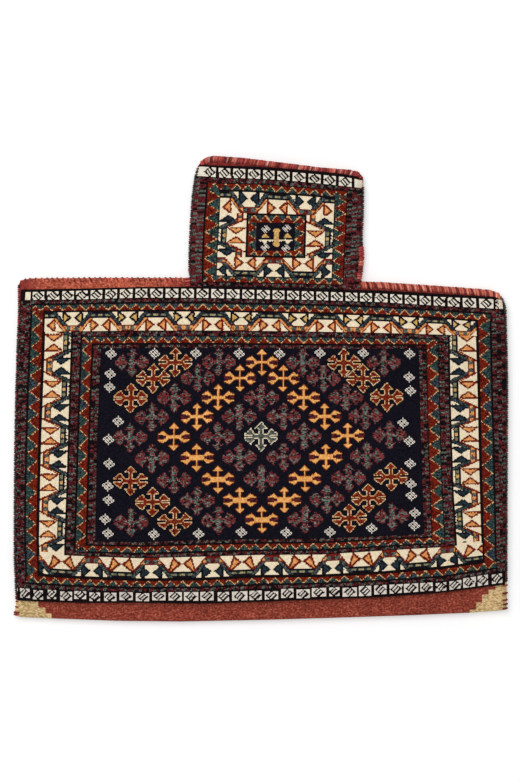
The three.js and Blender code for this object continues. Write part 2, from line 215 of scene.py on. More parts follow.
# Dyes of the pile in daylight: fresh tone, worn tone, and how far one tuft differs from the next
dyes = {
    "indigo": ("0f0d16", "1b1821", 0.5),
    "walnut": ("0d090c", "211618", 0.8),
    "madder": ("5f140c", "852d1a", 0.9),
    "scarlet": ("6e1c0d", "963f20", 0.9),
    "wine": ("511a1d", "702f31", 1.1),
    "teal": ("273d3c", "465b55", 1.1),
    "blue": ("2b3740", "4a565e", 1.1),
    "bottle": ("1a262d", "313f45", 0.9),
    "slate": ("485049", "6f706a", 1.1),
    "gold": ("e69d4d", "f3be79", 0.6),
    "apricot": ("d98c48", "ecb077", 0.6),
    "straw": ("d6a468", "e8c294", 0.6),
    "olive": ("92875e", "b8aa80", 0.7),
    "moss": ("6f6e53", "918f72", 0.7),
    "ivory": ("efdcb8", "f6e8cf", 0.3),
    "bone": ("e9dfcc", "f3ecdf", 0.32),
    "chalk": ("dfd5c8", "ede4d9", 0.4),
    "plum": ("602426", "83403e", 1.2),
    "ash": ("555f58", "7f847b", 1.2),
    "honey": ("c29650", "e0ba79", 0.6),
}
dyeNames = list(dyes)
wool = {"roughness": 0.9, "roughSwing": 0.1, "gloss": 0.04, "tuft": 950, "fibre": 2600, "fibreSwing": 0.25,
        "abrash": 9, "abrashSwing": 0.25, "abrashStretch": (0.25, 1.0, 1.0), "wear": 1.3, "bump": 0.55,
        "depth": 0.0007, "fibreDepth": 0.5}


# A new material with its place on the object and the tone of each tuft or strand
def woolMaterial(name, finish):
    material, wire, shader = newMaterial(name, finish["roughness"], finish["gloss"])
    place = wire.node("ShaderNodeTexCoord", out="Object")
    tone = wire.node("ShaderNodeAttribute", {"attribute_name": "tone"}, out="Fac")
    return material, shader, place, tone


def pileMaterial(name):
    fresh, worn, swing = dyes[name]
    material, shader, place, tone = woolMaterial("pile_" + name, wool)
    tuft = place.noise(wool["tuft"], 2.0)
    fibre = place.noise(wool["fibre"], 1.0)
    rows = place.node("ShaderNodeMapping", {}, {"Vector": place, "Scale": wool["abrashStretch"]})
    abrash = rows.noise(wool["abrash"], 3.0)
    shade = 1 + (tone - 0.5) * swing + (abrash - 0.5) * wool["abrashSwing"] + (fibre - 0.5) * wool["fibreSwing"]
    wear = tuft * tone * wool["wear"]
    shade.times(wear.mix(colourOf(fresh), colourOf(worn))).into(shader, "Base Color")
    (wool["roughness"] + wool["roughSwing"] * fibre).into(shader, "Roughness")
    (tuft + fibre * wool["fibreDepth"]).bump(wool, shader)
    return material


pileMaterials = [pileMaterial(name) for name in dyeNames]
print("pile dyed in", len(pileMaterials), "colours")


def meshFrom(name, points, quads, uv, materials, faceMaterial=None, tone=None):
    used, quads = np.unique(quads, return_inverse=True)
    quads = quads.reshape(-1, 4)
    points, uv = points[used], uv[used]
    mesh = bpy.data.meshes.new(name)
    mesh.vertices.add(len(points))
    mesh.vertices.foreach_set("co", points.astype(np.float32).ravel())
    mesh.loops.add(quads.size)
    mesh.loops.foreach_set("vertex_index", quads.astype(np.int32).ravel())
    mesh.polygons.add(len(quads))
    mesh.polygons.foreach_set("loop_start", np.arange(0, quads.size, 4, dtype=np.int32))
    mesh.update(calc_edges=True)
    layer = mesh.uv_layers.new(name="OFBake")
    layer.uv.foreach_set("vector", uv[quads.ravel()].astype(np.float32).ravel())
    for each in materials:
        mesh.materials.append(each)
    if faceMaterial is not None:
        mesh.polygons.foreach_set("material_index", faceMaterial.astype(np.int32))
    if tone is not None:
        mesh.attributes.new("tone", "FLOAT", "FACE").data.foreach_set("value", tone.astype(np.float32))
    mesh.update()
    piece = bpy.data.objects.new(name, mesh)
    scene.collection.objects.link(piece)
    return piece


def gridQuads(rows, columns, first=0):
    corner = first + np.arange(rows)[:, None] * (columns + 1) + np.arange(columns)[None]
    return np.stack([corner, corner + columns + 1, corner + columns + 2, corner + 1], -1)


def settle(piece, nodes, smoothFaces=False):
    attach(piece, "root")
    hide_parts(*nodes)
    piece.data.polygons.foreach_set("use_smooth", np.full(len(piece.data.polygons), smoothFaces))


# Lines of the body's pattern as the loom left them: rows at nine places across, columns at seven down
bodyPatch = {
    "size": (493, 317),
    "startX": 14,
    "rowsAt": [20, 80, 140, 200, 260, 320, 380, 440, 500],
    "rows": {
        0: [289.5, 288.6, 287, 286.7, 288.3, 289.4, 290.2, 293.7, 297.3],
        2: [292.3, 290.8, 288.7, 288.8, 290.3, 291.9, 293.6, 297, 299.6],
        11: [300, 299.4, 297.6, 297.8, 299, 300.2, 302, 305.8, 308.8],
        25: [313, 312.3, 311.7, 311.7, 313, 314.3, 316, 319, 323.5],
        44: [331.8, 331.4, 330.6, 330.6, 331, 331.8, 333, 334.7, 337],
        61: [349, 348.6, 348, 347.9, 348.3, 348.7, 348.8, 348.3, 348],
        252: [540, 540.2, 541, 539, 538, 537.4, 535, 532.5, 530],
        270: [553, 555.7, 558, 556.4, 554.6, 554.2, 550.5, 547, 541],
        291: [573, 576.6, 579, 578.3, 575.5, 575, 572, 567, 559],
        305: [588.3, 591, 592.3, 591.8, 589.3, 587.8, 585, 581.8, 572.5],
        317: [600.7, 602.9, 602.7, 603.6, 601.7, 599.4, 597.3, 592.8, 585],
    },
    "columnsAt": [290, 340, 390, 440, 490, 540, 600],
    "columns": {
        0: [20.5, 17.2, 15, 14.2, 13.8, 13.7, 17],
        12: [33, 30, 28, 26.4, 25.3, 25, 27],
        26.2: [46.5, 44.4, 42.5, 40.6, 39.4, 38.4, 41],
        54.5: [73.5, 71.8, 70.2, 68.8, 67.2, 65.2, 64],
        84: [104.5, 102.7, 100.4, 98.3, 97.4, 96.5, 96],
        405: [416.5, 417.3, 418.6, 419.5, 421.5, 423, 424.5],
        437: [448.5, 449.5, 450.1, 451.5, 453.2, 456.5, 458],
        465.7: [475, 477.4, 479, 480, 481.2, 482.8, 484],
        479.5: [490.5, 491.4, 492.4, 494, 495.1, 496, 498],
        493: [504.5, 507, 507.9, 507.5, 507.5, 507.3, 504.8],
    },
}
neckPatch = {
    "size": (172, 120),
    "startX": 190,
    "rowsAt": [195, 225, 255, 285, 315, 345, 360],
    "rows": {
        0: [164.5, 165.8, 167, 169, 171.3, 174.3, 177.5],
        2.6: [165.5, 168, 169.7, 171.7, 174.2, 176.8, 179.5],
        12: [175.5, 178, 179, 180.7, 183.3, 186.3, 187.8],
        18: [181, 184, 185, 187, 189.3, 191.5, 193],
        25.3: [190, 191, 192, 194.5, 196.7, 198.5, 200],
        46.8: [213, 214, 214.5, 215, 216.5, 217.5, 218],
        55.7: [223, 223, 223.5, 223.8, 224.5, 225, 225],
        83: [250.5, 250.5, 251, 251, 251.5, 251.5, 252],
        89.8: [257, 257, 257.5, 258, 258.5, 259, 259],
        109: [275, 275.5, 276.7, 277.2, 277.8, 278.2, 278.5],
        115.7: [282, 282.5, 283.3, 284, 284.8, 285.3, 286],
        120: [286.7, 287.3, 288.2, 288.8, 289.3, 289.7, 290],
    },
    "columnsAt": [165, 195, 225, 255, 287],
    "columns": {
        0: [197, 192.3, 190.3, 189.3, 190.5],
        14.5: [208.5, 207, 204.8, 203.3, 203],
        29: [221.5, 220.5, 219.3, 217.5, 216.5],
        56: [248.5, 247.5, 246.3, 245.3, 245],
        66.7: [258, 257.5, 257, 256.5, 256],
        104.7: [296.5, 296, 295, 293.5, 293],
        115.4: [307, 306.5, 305.7, 304.8, 304],
        143: [335, 334.5, 333.3, 332, 331.3],
        155.2: [347.5, 346.8, 345.5, 344, 342.5],
        172: [362.5, 363.5, 362.7, 362.8, 360.5],
    },
}


def blendLines(lines, at, place, cross):
    keys = np.array(sorted(lines), float)
    values = np.stack([np.interp(cross, at, lines[key]) for key in sorted(lines)])
    low = np.clip(np.searchsorted(keys, place, side="right") - 1, 0, len(keys) - 2)
    first = np.take_along_axis(values, low[None], 0)[0]
    second = np.take_along_axis(values, low[None] + 1, 0)[0]
    return first + (second - first) * (place - keys[low]) / (keys[low + 1] - keys[low])


def onChart(patch, column, row):
    x = column + patch["startX"]
    for _ in range(4):
        y = blendLines(patch["rows"], patch["rowsAt"], row, x)
        x = blendLines(patch["columns"], patch["columnsAt"], column, y)
    return x, y


# How far a knot strays on the chart, how far its tuft stands up or down in metres, and the spread of its tone
knotting = {"wander": 0.17, "lift": 0.00013, "tone": 0.5, "toneSpread": 0.24}


# A patch of the loom: every knot's column, row and place on the chart, and the dye that is tied there
class Loom:
    def __init__(self, patch):
        self.patch = patch
        columns, rows = patch["size"]
        self.column, self.row = np.meshgrid(np.arange(columns) + 0.5, np.arange(rows) + 0.5)
        self.x, self.y = onChart(patch, self.column, self.row)
        self.trueX = self.x
        wander = rng.normal(0, knotting["wander"], (2,) + self.x.shape)
        self.x, self.y = self.x + wander[0], self.y + wander[1]
        self.dye = np.zeros(self.x.shape, int)

    def tie(self, where, name):
        self.dye[where] = dyeNames.index(name)

    # Ties one dye after another over the same knots, each where its own test holds
    def lay(self, where, *coats):
        for test, name in coats:
            self.tie(where & test, name)

    def between(self, left, right, top, bottom):
        return (self.column >= left) & (self.column < right) & (self.row >= top) & (self.row < bottom)

    # One draw for every run of knots along a row
    def chance(self, run=1):
        rows, columns = self.x.shape
        return np.repeat(rng.random((rows, columns // run + 1)), run, axis=1)[:, :columns]


# 1 on every mark and 0 halfway between two marks
def wave(place, marks):
    phase = np.interp(place, marks, np.arange(len(marks)))
    return np.abs(phase % 1 - 0.5) * 2


def evenMarks(start, step, low, high):
    first = np.floor((low - start) / step) - 1
    return start + step * np.arange(first, np.ceil((high - start) / step) + 2)


# The marks with some more at both ends, spaced as the end ones are
def stretched(marks, more=1):
    for _ in range(more):
        marks = [2 * marks[0] - marks[1]] + list(marks) + [2 * marks[-1] - marks[-2]]
    return marks


# Triangles with their tips on the marks, drawn round in straw. across is measured from their base
def zigzag(loom, where, along, across, deep, marks, line):
    depth = across / deep
    tip = 0.04 + 0.92 * wave(along, marks)
    chance = loom.chance()
    loom.lay(where, (True, "teal"), (np.sin(along * 0.083) + np.sin(along * 0.031 + 2) > 0.9, "blue"),
             (chance > 0.84, "bottle"), (chance < 0.2, "walnut"), (depth < tip, "madder"),
             ((depth < tip) & (chance > 0.9), "walnut"))
    loom.lay(where & (np.abs(depth - tip) < line), (True, "scarlet"), (chance < 0.66, "straw"))


# Braid of short floats in two colours, with the dark ground between them
def braid(loom, where, along, across, run, step, gap=0.22, dark=0.14):
    lane = np.floor(across / step)
    turn = along / run + lane * 0.5
    blob = rng.random((61, 47))[np.floor(turn).astype(int) % 61, lane.astype(int) % 47]
    odd = np.floor(turn) % 2 == 1
    chance = loom.chance()
    loom.lay(where, (True, "walnut"), (~odd & (blob < 0.85), "wine"), (odd & (blob < 0.62), "slate"),
             (odd & (blob > 0.84), "wine"), ((turn % 1 < gap) & (chance < 0.75), "walnut"),
             (chance > 1 - dark, "walnut"))


# White squares with a hatched lozenge in each; cells come from the marks of their dark lines
def squares(loom, style):
    marks, counts = style["marks"], style["counts"]
    where = loom.between(*style["box"]) & (loom.trueX < style["end"])
    count = np.interp(loom.trueX, marks, counts)
    number = np.floor(count)
    cell = np.interp(number + 1, counts, marks) - np.interp(number, counts, marks)
    across = (count % 1 - 0.5) * cell
    uneven = rng.normal(0, 1, (2, 64))[:, number.astype(int) % 64] * style["ragged"]
    down = loom.row - style["middle"] + uneven[0]
    half = cell / 2 - np.where(cell < 9, 0.7, 1.5) + uneven[1]  # thinner dark lines in the narrow end cells
    square = where & (np.abs(across) < half) & (np.abs(down) < 4.6)
    away = np.abs(across - np.where(cell > 18, 3.6, 0)) / 6 + np.abs(down) / 5.2
    hatch = ((np.round(across) - style["lean"] * np.round(down) + 1) % 4 < 2) | (away > 0.72)
    plain = (count < style["plain"][0]) | (count > style["plain"][1])
    loom.tie(where, "walnut")
    loom.lay(square, (True, style["white"]), (~plain & (away < 1) & hatch, "walnut"),
             (plain & (loom.chance() < 0.4), "ivory"))


# Meander of two lanes of hourglasses. along is measured from the nearest cool hourglass, 57 to a repeat,
# and e from the cool lane's own edge, 19 across the band
repeat, bandDeep = 57, 19
neckMeander = {"head": "bottle", "waist": 5.8, "warmWaist": 5.6, "warmBand": 3.4, "warmFrom": 4, "ribbon": (13, 19),
               "core": (14.2, 17.4), "bead": "olive", "beads": (2, 4), "beadStep": 8, "beadLong": 11,
               "outline": (2.4, 3.2), "outer": (9.9, 0), "blockFrom": 4, "grey": 0.5, "fringe": False}
topMeander = dict(neckMeander, head="honey", waist=5.2, warmWaist=6.3, warmBand=4.4, warmFrom=-1, ribbon=(12.8, 19),
                  core=(13.9, 17.4), outline=(3.4, 3.2), blockFrom=0, grey=0.15)
bottomMeander = dict(neckMeander, warmWaist=5.8, warmBand=1.8, warmFrom=30, outline=(2.4, 3.5), outer=(8, 0.34),
                     grey=0.45)
sideMeander = dict(neckMeander, waist=6.3, warmWaist=6.8, warmBand=2.6, warmFrom=9, ribbon=(12.3, 17),
                   core=(13.3, 15.8), bead="honey", beads=(2.6, 4.6), beadStep=6.4, beadLong=8.5, outline=(2.4, 2.6),
                   blockFrom=0, grey=0.35, fringe=True)


def meander(loom, where, place, across, wide, marks, style):
    e = across * bandDeep / wide
    phase = np.interp(place, marks, np.arange(len(marks)))
    along = (phase - np.round(phase)) * repeat
    near, far, up = np.abs(along), repeat / 2 - np.abs(along), bandDeep - e
    slant = 21.5 - 0.85 * e  # where the cool lane ends and the warm lane starts
    cool = where & (near < slant)
    warm = where & (near >= slant)
    blocks = np.floor(along / 4.4 + 0.5) % 2 == 0  # every other block of a ribbon
    chance = loom.chance()
    loom.tie(where, "ivory")
    # cool lane: a head each side of the waist, a straight line behind it and a slanting band
    glass = 0.7 + 1.25 * np.abs(e - style["waist"])  # half width of the hourglass
    loom.lay(cool & (near > glass) & (near < 9.8) & (e < 12.4), (True, "indigo"),
             ((near > glass + style["outline"][0]) & (near < 8.9), style["head"]))
    loom.tie(cool & (np.abs(near - 9.9) < 0.8) & (e < 9), "indigo")
    core = (near > slant - 4.3) & (near < slant - 0.9)
    loom.lay(cool & (near > slant - 5.4), (True, "indigo"), (core, "bottle"),
             (core & (chance < style["grey"]), "slate"))
    # warm lane: the same, the other way up
    glass = (0.7 if style["outer"][1] == 0 else 0) + 1.25 * np.abs(up - style["warmWaist"])
    outer = style["outer"][0] + style["outer"][1] * up
    loom.lay(warm & (far > glass) & (far < outer) & (up < 12.6), (True, "madder"),
             ((far > glass + style["outline"][1]) & (far < outer - 1), "apricot"))
    loom.tie(warm & (np.abs(far - outer) < 0.9) & (up < 11), "madder")
    edge = slant + style["warmBand"]
    loom.lay(warm & (near < edge), (True, "madder"),
             ((near < edge - 1.3) & (near > slant + 0.9) & (up > style["warmFrom"]), "apricot"))
    # ribbons between the hourglasses
    start, end = style["ribbon"]
    loom.lay(cool & (e > start), (True, "ivory" if style["fringe"] else "walnut"), (e < end, "madder"))
    start, end = style["core"]
    loom.lay(cool & (e > start) & (e < end), (True, "slate"), (blocks & (near < style["blockFrom"]), "wine"),
             (blocks & (near >= style["blockFrom"]), "apricot"), (chance > 0.9, "walnut"))
    start, end = style["beads"]
    core = (e > start) & (e < end)
    bead = core & (np.abs((far / style["beadStep"] + 0.5) % 1 - 0.5) < 0.32)
    loom.lay(warm & (e < 5.8), (True, "indigo"), (core, "bottle"), (bead & (far < style["beadLong"]), "moss"),
             (bead & (far < style["beadStep"] / 2), style["bead"]))
    if style["fringe"]:
        loom.tie(warm & (e < 1.4) & (chance < 0.75), "ivory")


def hatchedLozenge(loom, x, y, half, tall):
    middle = np.argmin((loom.x - x) ** 2 + (loom.y - y) ** 2)
    across, down = loom.column - loom.column.flat[middle], loom.row - loom.row.flat[middle]
    away = np.abs(across) / half + np.abs(down) / tall
    loom.lay(away < 1, (True, "chalk"), (((across - down) % 3 == 0) | ((across + down) % 6 == 3), "walnut"))


def innerKnots(mask):
    inner = mask.copy()
    inner[1:] &= mask[:-1]
    inner[:-1] &= mask[1:]
    inner[:, 1:] &= mask[:, :-1]
    inner[:, :-1] &= mask[:, 1:]
    return inner


def rimKnots(mask):
    return ~innerKnots(~mask) & ~mask


# Arms of a cross: stems, arrowheads above and below, split leaves at the sides
crossForms = {
    "plain": {"stem": 0.8, "stemTall": 12.4, "headBase": 8.4, "headHalf": 4.9, "headTip": 13.2, "bar": 1.2,
              "barLong": 6.2, "leafStart": 4.4, "leafPeak": 10.4, "leafTall": 6.2, "leafEnd": 16.5, "leafTip": 2.6,
              "slot": 1.5, "slotGrow": 0.16},
    "drawn": {"stem": 2.3, "stemTall": 13.5, "headBase": 8, "headHalf": 6.4, "headTip": 15.2, "bar": 2.6,
              "barLong": 8, "leafStart": 4.8, "leafPeak": 10, "leafTall": 8.2, "leafEnd": 16.8, "leafTip": 2.7,
              "slot": 0.9, "slotGrow": 0},
    "quiet": {"stem": 3.2, "stemTall": 13, "headBase": 7, "headHalf": 6.2, "headTip": 15, "bar": 2.2,
              "barLong": 6.5, "leafStart": 4, "leafPeak": 9.6, "leafTall": 8.2, "leafEnd": 17.2, "leafTip": 2.4,
              "slot": 1.2, "slotGrow": 0.08},
}
crossForms["plainLow"] = dict(crossForms["plain"], bar=2.4)


def crossKnots(dx, dy, stem, stemTall, headBase, headHalf, headTip, bar, barLong, leafStart, leafPeak, leafTall,
               leafEnd, leafTip, slot, slotGrow):
    across, down = np.abs(dx), np.abs(dy)
    post = (across <= stem) & (down <= stemTall)
    head = (down >= headBase) & (across <= (headTip - down) * (headHalf / (headTip - headBase)))
    arm = (down <= bar) & (across <= barLong)
    climb = (leafTall - 0.6) / (leafPeak - leafStart)
    fall = (leafTall - leafTip) / (leafEnd - leafPeak)
    tall = np.minimum(0.6 + (across - leafStart) * climb, leafTip + (leafEnd - across) * fall)
    leaf = (across >= leafStart) & (across <= leafEnd) & (down <= tall)
    outer = across - barLong - 1
    gap = (outer > 0) & (down < slot + outer * slotGrow) & leaf
    return post | head | arm | (leaf & ~gap), gap


field = {
    "box": (84, 405, 61, 252),
    "columns": [115.2, 137.1, 159.1, 182.1, 202.9, 224.7, 246.6, 269, 289.6, 310.8, 333.1, 352, 375.1],
    "rows": [75.3, 91.2, 110.5, 129.7, 149.6, 170.5, 192.3, 213.5, 233.3],
    "drift": (0.21, 0.1),
    "lozenge": (6.5, 5.7),
    "lozenges": [(111, 353.5), (155, 353.5), (196, 353.5), (239, 353.5), (280, 353.5), (320, 353.5), (363.5, 353.5),
                 (409, 353.5), (108.5, 533), (154, 534.5), (198, 533.5), (242, 531.5), (286, 532), (329.5, 531),
                 (371.5, 528.5), (413.5, 525), (111, 373.5), (110, 387), (118, 421), (108.5, 439), (109.5, 463.5),
                 (108.5, 486), (109, 499.5), (105.5, 519), (409, 377), (410.5, 391), (403, 423), (409.5, 441.5),
                 (410, 463), (411, 484), (411, 496), (414.5, 513)],
}
# Dyes of a cross by its ring round the middle one: outline, fill, and odd knots of the outline
drawnDyes = {0: ("ivory", "slate", "slate"), 8: ("straw", "scarlet", "scarlet")}
quietDyes = ("plum", "ash", "indigo")


def weaveCross(loom, inField, ring, low, dx, dy):
    if ring == 4:
        knots, slot = crossKnots(dx, dy, **crossForms["plainLow" if low else "plain"])
        loom.lay(inField, (rimKnots(knots) & (loom.chance() < 0.66), "scarlet"),
                 (slot & (loom.chance() < 0.6), "wine"), (knots, "gold"))
        return
    drawn = ring in drawnDyes
    line, fill, odd = drawnDyes.get(ring, quietDyes)
    knots, slot = crossKnots(dx, dy, **crossForms["drawn" if drawn else "quiet"])
    knots &= inField
    inner = innerKnots(knots) if drawn else innerKnots(knots | slot) & knots
    rim = knots & ~inner
    loom.lay(knots, (True, line), (inner, fill), (rim & (loom.chance() < 0.16), odd),
             (inner & (loom.chance() < 0.1), "walnut"))
    if ring == 8:
        loom.lay(knots, (inner & (loom.chance() < 0.5), "madder"), (rim & (loom.chance() < 0.14), "ivory"))
    if not drawn:
        chance = loom.chance(2)
        wings = (np.abs(dx) > 3.4) & (np.abs(dy) > 1.4)
        loom.tie(slot & inField & (chance < 0.8), "plum")
        loom.lay(inner, ((chance < 0.33) | wings & (chance < 0.46), "plum"), (chance > 0.82, "walnut"),
                 (chance > 0.93, "teal"))
        loom.tie(rim & (chance > 0.8), "indigo")


def weaveField(loom):
    inField = loom.between(*field["box"])
    loom.tie(inField, "indigo")
    middleX, middleY = len(field["columns"]) // 2, len(field["rows"]) // 2
    for i, column in enumerate(field["columns"]):
        for j, row in enumerate(field["rows"]):
            ring = abs(i - middleX) + abs(j - middleY)
            drift = (field["drift"][0] * max(i - middleX, 0) * max(middleY - j, 0)
                     - field["drift"][1] * max(middleX - i, 0) * max(j - 3, 0))
            if ring % 2 == 0:
                weaveCross(loom, inField, ring, j > middleY, loom.column - column + drift, loom.row - row)
    for x, y in field["lozenges"]:
        hatchedLozenge(loom, x, y, *field["lozenge"])


# Squares, then rings of bands on a dark ground: up the left and right sides, and along the top and bottom ends.
# A band has its box on the loom, the line that it is measured from, and its braid's, zigzag's or meander's settings
def weaveBands(loom, pattern):
    loom.tie(loom.row >= 0, "walnut")
    for style in pattern["squares"]:
        squares(loom, style)
    for band, ground, sides, ends in pattern["rings"]:
        loom.tie(loom.between(*ground), "walnut")
        for box, start, *style in sides:
            band(loom, loom.between(*box), loom.y, loom.column - start, *style)
        for box, start, *style in ends:
            band(loom, loom.between(*box), loom.x, loom.row - start, *style)
    for box in pattern["sideEnds"]:
        loom.tie(loom.between(*box), "ivory")


endBraid = (3.6, 1.9, 0.1, 0.25)  # run, step, gap and dark of the thin braids along the ends
leftTips = [330, 347, 361, 376, 391.5, 407, 421, 438, 453, 469, 484.5, 500.5, 516.5, 531, 546, 562]
rightTips = [334, 348.5, 364, 381.5, 399, 414, 428.5, 442.5, 457, 473.5, 487.5, 502, 516.5, 531.5, 546, 562]
innerLeftTips = [366, 382, 397, 413, 429, 447, 464, 481.5, 498, 513.5, 527, 543]
innerRightTips = [358.5, 374, 390.5, 407, 421.5, 437.5, 451.5, 466.5, 483, 498.5, 512, 526]
topGlass = stretched([73, 128, 184, 241.5, 298.5, 353, 409, 461])
bottomGlass = stretched([92, 151.5, 213, 271.5, 333, 389, 447])
leftGlass = stretched([366, 412.5, 459, 505.5, 552], 2)
rightGlass = stretched([366.5, 413.5, 454.5, 498, 540], 2)
topSquares = {"box": (0, 493, 2, 11.2), "end": np.inf, "middle": 6.5, "lean": 1, "plain": (0, 31.4), "white": "bone",
              "ragged": 0.0, "marks": [24.5, 31.5, 118.5, 225.5, 286, 359, 418, 461, 494.5, 504.5],
              "counts": [-1, 0, 6, 13, 17, 22, 26, 29, 31, 32]}
bottomSquares = {"box": (0, 493, 305, 315), "end": 503.4, "middle": 310, "lean": -1, "plain": (-9, 40),
                 "white": "chalk", "ragged": 0.45,
                 "marks": [10, 18, 45, 102, 167, 231.5, 295.5, 357.5, 434, 504, 518],
                 "counts": [-2.6, -2, 0, 4, 8, 12, 16, 20, 25, 30, 31]}
neckSquares = dict(topSquares, box=(0, 172, 2.2, 12.2), middle=7.5, plain=(-1, 9),
                   marks=[180, 195, 217.5, 276, 353, 370], counts=[-1.7, -1, 0, 4, 9, 10])
border = {
    "squares": [topSquares, bottomSquares],
    "rings": [
        (braid, (0, 493, 11.2, 305),
         [((0.6, 10.6, 12, 304), 0, 2.2, 3.5), ((480, 492.4, 12, 304), 480, 2.2, 4.2)],
         [((4, 489, 12.2, 15.2), 12, *endBraid), ((4, 489, 300.6, 303.8), 300, *endBraid)]),
        (zigzag, (12, 479.5, 15.2, 300),
         [((13.2, 23.8, 16.8, 299.4), 23.8, -10.6, stretched(leftTips, 3), 0.05),
          ((467, 477.6, 16.8, 299.4), 467, 10.6, stretched(rightTips, 3), 0.05)],
         [((12.4, 479, 17.2, 23.2), 23.2, -6, evenMarks(46.5, 11.19, 10, 512), 0.095),
          ((12.4, 479, 292.8, 299.2), 292.8, 6.4, evenMarks(38.3, 11.55, 10, 512), 0.09)]),
        (meander, (25, 467, 23.2, 292.4),
         [((27, 53.6, 44, 270), 54, -27.6, leftGlass, sideMeander),
          ((437.2, 464, 44, 270), 436.6, 28, rightGlass, sideMeander)],
         [((26.4, 464.6, 25.4, 44.4), 25.2, 19.2, topGlass, topMeander),
          ((26.4, 464.6, 270.4, 290.4), 290.6, -20.2, bottomGlass, bottomMeander)]),
        (braid, (54.4, 436, 44.6, 269.8),
         [((55.8, 63.2, 45.6, 269), 55.8, 2.2, 3.8), ((426.4, 434.6, 45.6, 269), 426.4, 2.2, 4.2)],
         [((56, 434, 45.4, 48.8), 45, *endBraid), ((56, 434, 265.6, 269), 265, *endBraid)]),
        (zigzag, (63.4, 426.2, 49, 265.2),
         [((64.8, 74.4, 49.8, 264.6), 74.4, -9.6, stretched(innerLeftTips, 2), 0.058),
          ((414.2, 425.4, 49.8, 264.6), 414.2, 11.2, stretched(innerRightTips, 2), 0.058)],
         [((64.8, 425.4, 50.2, 56.2), 56.2, -6, evenMarks(95.5, 11.25, 60, 460), 0.095),
          ((64.8, 425.4, 257.8, 264.2), 257.8, 6.4, evenMarks(98.8, 11.6, 60, 460), 0.09)]),
        (braid, (75.2, 413.6, 56.2, 257.6),
         [((76.4, 83.2, 58, 255.8), 76.4, 2.2, 3.5), ((405.6, 412.6, 58, 255.8), 405.6, 2.2, 3.6)],
         [((77, 412, 58, 60.8), 58, *endBraid), ((77, 412, 252.6, 255.8), 252, *endBraid)])],
    "sideEnds": [(27, 53.6, 267.4, 270.4), (437.2, 464, 267.4, 270.4)],
}
neckLeftTips = [183, 197, 211, 225, 239, 251.5, 265, 278]
neckRightTips = [184, 196, 208, 219.5, 228.5, 238, 248.5, 261, 273, 285]
neckInnerTips = evenMarks(228, 11.6, 200, 270)
neck = {
    "squares": [neckSquares],
    "rings": [
        (braid, (0, 172, 12.2, 120),
         [((0.6, 13.4, 12.8, 119.6), 0, 2.1, 6.4, 0.06, 0.03),
          ((156.4, 171.6, 12.8, 119.6), 156, 2.1, 5.2, 0.12, 0.08)],
         [((4, 168, 13, 17), 13, *endBraid), ((4, 168, 116.4, 119.4), 116, *endBraid)]),
        (zigzag, (14, 155.8, 17.4, 116),
         [((14.8, 27.8, 18, 115.4), 14.8, 13.6, neckLeftTips, 0.05),
          ((144.4, 155, 18, 115.4), 155, -11.4, neckRightTips, 0.05)],
         [((14.8, 155, 18, 24.6), 18, 6.6, evenMarks(231.4, 11.12, 185, 370), 0.085),
          ((14.8, 155, 109.6, 115.4), 115.4, -5.8, evenMarks(209.5, 11.4, 185, 370), 0.085)]),
        (meander, (27.8, 144.4, 24, 110.2),
         [((29.2, 55.6, 46.4, 90), 29.2, 26.4, [169, 214, 257, 301], sideMeander),
          ((116, 142.8, 46.4, 90), 142.8, -26.8, [173, 217, 261, 305], sideMeander)],
         [((29.2, 142.8, 25.6, 46.4), 25.6, 20.8, [137, 193, 249, 305.5, 362, 418], neckMeander),
          ((29.2, 142.8, 90, 108.8), 108.8, -18.8, [158, 216, 274, 332, 390], neckMeander)]),
        (zigzag, (55.8, 115.8, 46.6, 89.8),
         [((57.8, 66.4, 48.2, 88.2), 56.8, 9.6, neckInnerTips, 0.065),
          ((105, 113.8, 48.2, 88.2), 114.8, -9.8, neckInnerTips, 0.065)],
         [((57.8, 113.8, 48.2, 55.2), 55.2, -7.8, evenMarks(254, 11.4, 235, 320), 0.095),
          ((57.8, 113.8, 83.4, 88.4), 83.4, 5.8, evenMarks(259.5, 11.4, 235, 320), 0.095)])],
    "sideEnds": [],
    "centre": (66.8, 104.8, 55.8, 83),
    "bars": [(276, 240.7, 16.6, 0.8, "ivory"), (276.5, 238.2, 2.4, 8.8, "honey"), (276.5, 231, 3.4, 1, "honey"),
             (276.5, 244, 3.4, 1, "honey")],
    "leaves": {"at": (265, 287.5), "slope": 0.75, "upper": (232.6, 238), "lower": (241.4, 244.6)},
    "lozenge": (5, 4),
    "lozenges": [(265.5, 229), (286.5, 229), (265.5, 247.5), (286, 248)],
}


def weaveNeckCentre(loom):
    x, y = loom.x, loom.y
    loom.tie(loom.between(*neck["centre"]), "indigo")
    for middleX, middleY, half, tall, dye in neck["bars"]:
        loom.tie((np.abs(x - middleX) < half) & (np.abs(y - middleY) < tall), dye)
    leaves = neck["leaves"]
    for middle in leaves["at"]:
        away = np.abs(x - middle)
        (tip, foot), (lowFoot, lowTip) = leaves["upper"], leaves["lower"]
        loom.tie((away < (y - tip) * leaves["slope"]) & (y < foot), "honey")
        loom.tie((away < (lowTip - y) * leaves["slope"]) & (y > lowFoot), "ivory")
    for spot in neck["lozenges"]:
        hatchedLozenge(loom, *spot, *neck["lozenge"])


bakeEdge = 0.005  # room round each piece's baked picture


